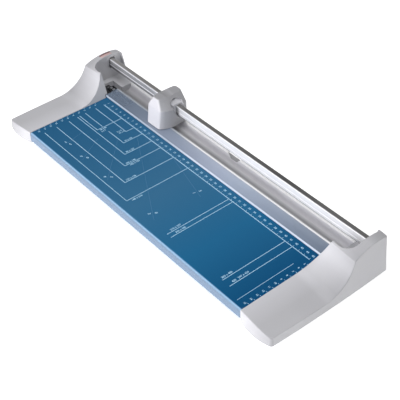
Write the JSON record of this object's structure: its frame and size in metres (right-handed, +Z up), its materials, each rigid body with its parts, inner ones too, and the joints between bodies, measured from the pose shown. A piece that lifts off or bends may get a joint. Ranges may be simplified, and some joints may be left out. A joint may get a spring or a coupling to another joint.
{
  "type": "rolling paper trimmer",
  "caption": "Desk paper trimmer: blue printed table between moulded grey end caps, with a rolling blade head that slides on a rail and a clear sprung strip that holds the sheet.",
  "frame": {"origin": "on the desk, under the middle of the outer box, head at its pictured place", "axes": "+X to the right along the cut, +Y to the back, +Z up"},
  "size_m": [0.5804, 0.202, 0.0692],
  "materials": {
    "blue_enamel": "satin enamel with a fine pale printed grid",
    "ground_steel": "ground",
    "plated_steel": "zinc plated",
    "spring_steel": "bright drawn",
    "grey_enamel": "satin enamel",
    "bright_aluminium": "satin anodised",
    "pale_grey_plastic": "fine moulded texture",
    "mid_grey_plastic": "smooth moulding",
    "white_bearing_plastic": "smooth",
    "dark_plastic": "smooth moulding",
    "clear_acrylic": "polished and clear",
    "rivet_aluminium": "plain",
    "black_rubber": "matt"
  },
  "bodies": {
    "base": {"table_plate": "blue_enamel", "lower_blade": "ground_steel", "lower_blade_screws": "plated_steel", "rear_channel": "grey_enamel", "back_lip": "grey_enamel", "notch_tray": "grey_enamel", "guide_rail": "bright_aluminium", "left_end_cap": "pale_grey_plastic", "right_end_cap": "pale_grey_plastic", "left_cap_screws": "plated_steel", "right_cap_screws": "plated_steel", "left_clamp_pin": "plated_steel", "right_clamp_pin": "plated_steel", "left_clamp_spring": "spring_steel", "right_clamp_spring": "spring_steel", "left_front_foot": "black_rubber", "right_front_foot": "black_rubber", "left_back_foot": "black_rubber", "right_back_foot": "black_rubber"},
    "clamp": {"clamp_strip": "clear_acrylic", "left_clamp_block": "dark_plastic", "right_clamp_block": "dark_plastic", "left_clamp_rivets": "rivet_aluminium", "right_clamp_rivets": "rivet_aluminium"},
    "head": {"head_hood": "pale_grey_plastic", "saddle": "mid_grey_plastic", "rail_keeper": "mid_grey_plastic", "hood_screws": "plated_steel", "keeper_screws": "plated_steel", "press_shoe": "dark_plastic", "left_glide_liner": "white_bearing_plastic", "right_glide_liner": "white_bearing_plastic", "blade_axle": "plated_steel", "blade_washer": "spring_steel"},
    "blade": {"rotary_blade": "ground_steel", "blade_hub": "dark_plastic", "blade_clip": "plated_steel"}
  },
  "joints": [
    {"name": "head_slide", "type": "slide", "parent": "base", "child": "head", "axis": [1, 0, 0], "range_m": [-0.124, 0.37]},
    {"name": "blade_spin", "type": "hinge", "parent": "head", "child": "blade", "pos_m": [-0.123, 0.06905, 0.0318], "axis": [0, 1, 0], "continuous": true},
    {"name": "clamp_press", "type": "slide", "parent": "base", "child": "clamp", "axis": [0, 0, 1], "range_m": [-0.00125, 0], "stiffness_N_per_m": 2000, "springref_m": 0.0006, "deforming": ["left_clamp_spring", "right_clamp_spring"]}
  ],
  "couplings": [
    {"joint": "blade_spin", "follows": "head_slide", "rad_per_m": 71.429}
  ]
}
